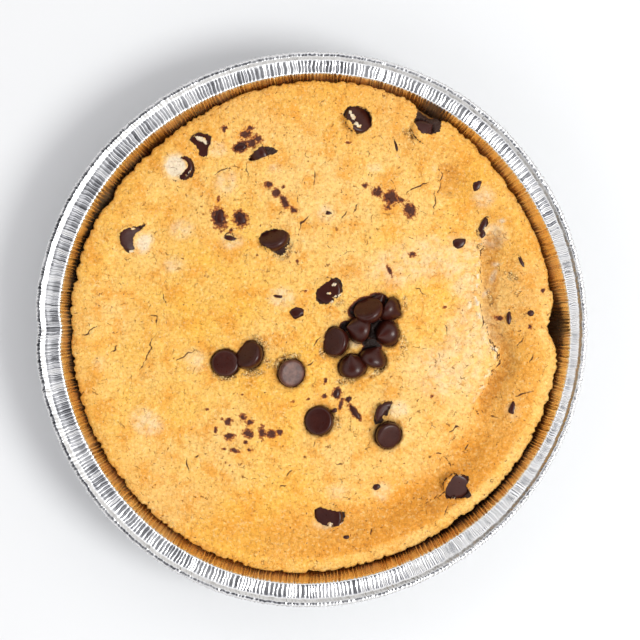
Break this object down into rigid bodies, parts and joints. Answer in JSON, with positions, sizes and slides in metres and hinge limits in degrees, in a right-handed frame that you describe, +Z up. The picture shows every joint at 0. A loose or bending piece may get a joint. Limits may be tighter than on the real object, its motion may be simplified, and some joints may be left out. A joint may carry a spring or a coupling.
{
  "type": "chocolate chip cookie pizza",
  "caption": "Thick round chocolate chip cookie baked in a pleated foil pan, with chips standing in its cracked golden top.",
  "frame": {"origin": "middle of the pan's box, on the flat underside of its floor", "axes": "+Z up out of the pan, +X to the right and +Y to the top of the plan as seen from above"},
  "size_m": [0.2162, 0.2178, 0.036],
  "materials": {
    "foil": "bright pleated foil",
    "cookie": "baked golden crust",
    "chocolate": "dark satin chocolate"
  },
  "bodies": {
    "root": {"foil_pan": "foil", "cookie": "cookie", "chip_row_left": "chocolate", "chip_row_middle": "chocolate", "chip_row_right": "chocolate", "chip_heap_top": "chocolate", "chip_heap_flat": "chocolate", "chip_heap_point": "chocolate", "chip_heap_lying": "chocolate", "chip_heap_low": "chocolate", "chip_heap_side": "chocolate", "chip_heap_right": "chocolate", "chip_heap_back": "chocolate", "chip_heap_buried": "chocolate", "chip_pair_upper": "chocolate", "chip_pair_lower": "chocolate", "chip_pair_broken": "chocolate", "chip_middle_big": "chocolate", "chip_middle_oblong": "chocolate", "chip_far_top": "chocolate", "chip_edge_right": "chocolate", "chip_low_right": "chocolate", "chip_low_middle": "chocolate", "chip_left_upper": "chocolate", "chip_cream_left": "chocolate", "chip_cream_right": "chocolate", "chip_smeared": "chocolate"}
  },
  "joints": []
}
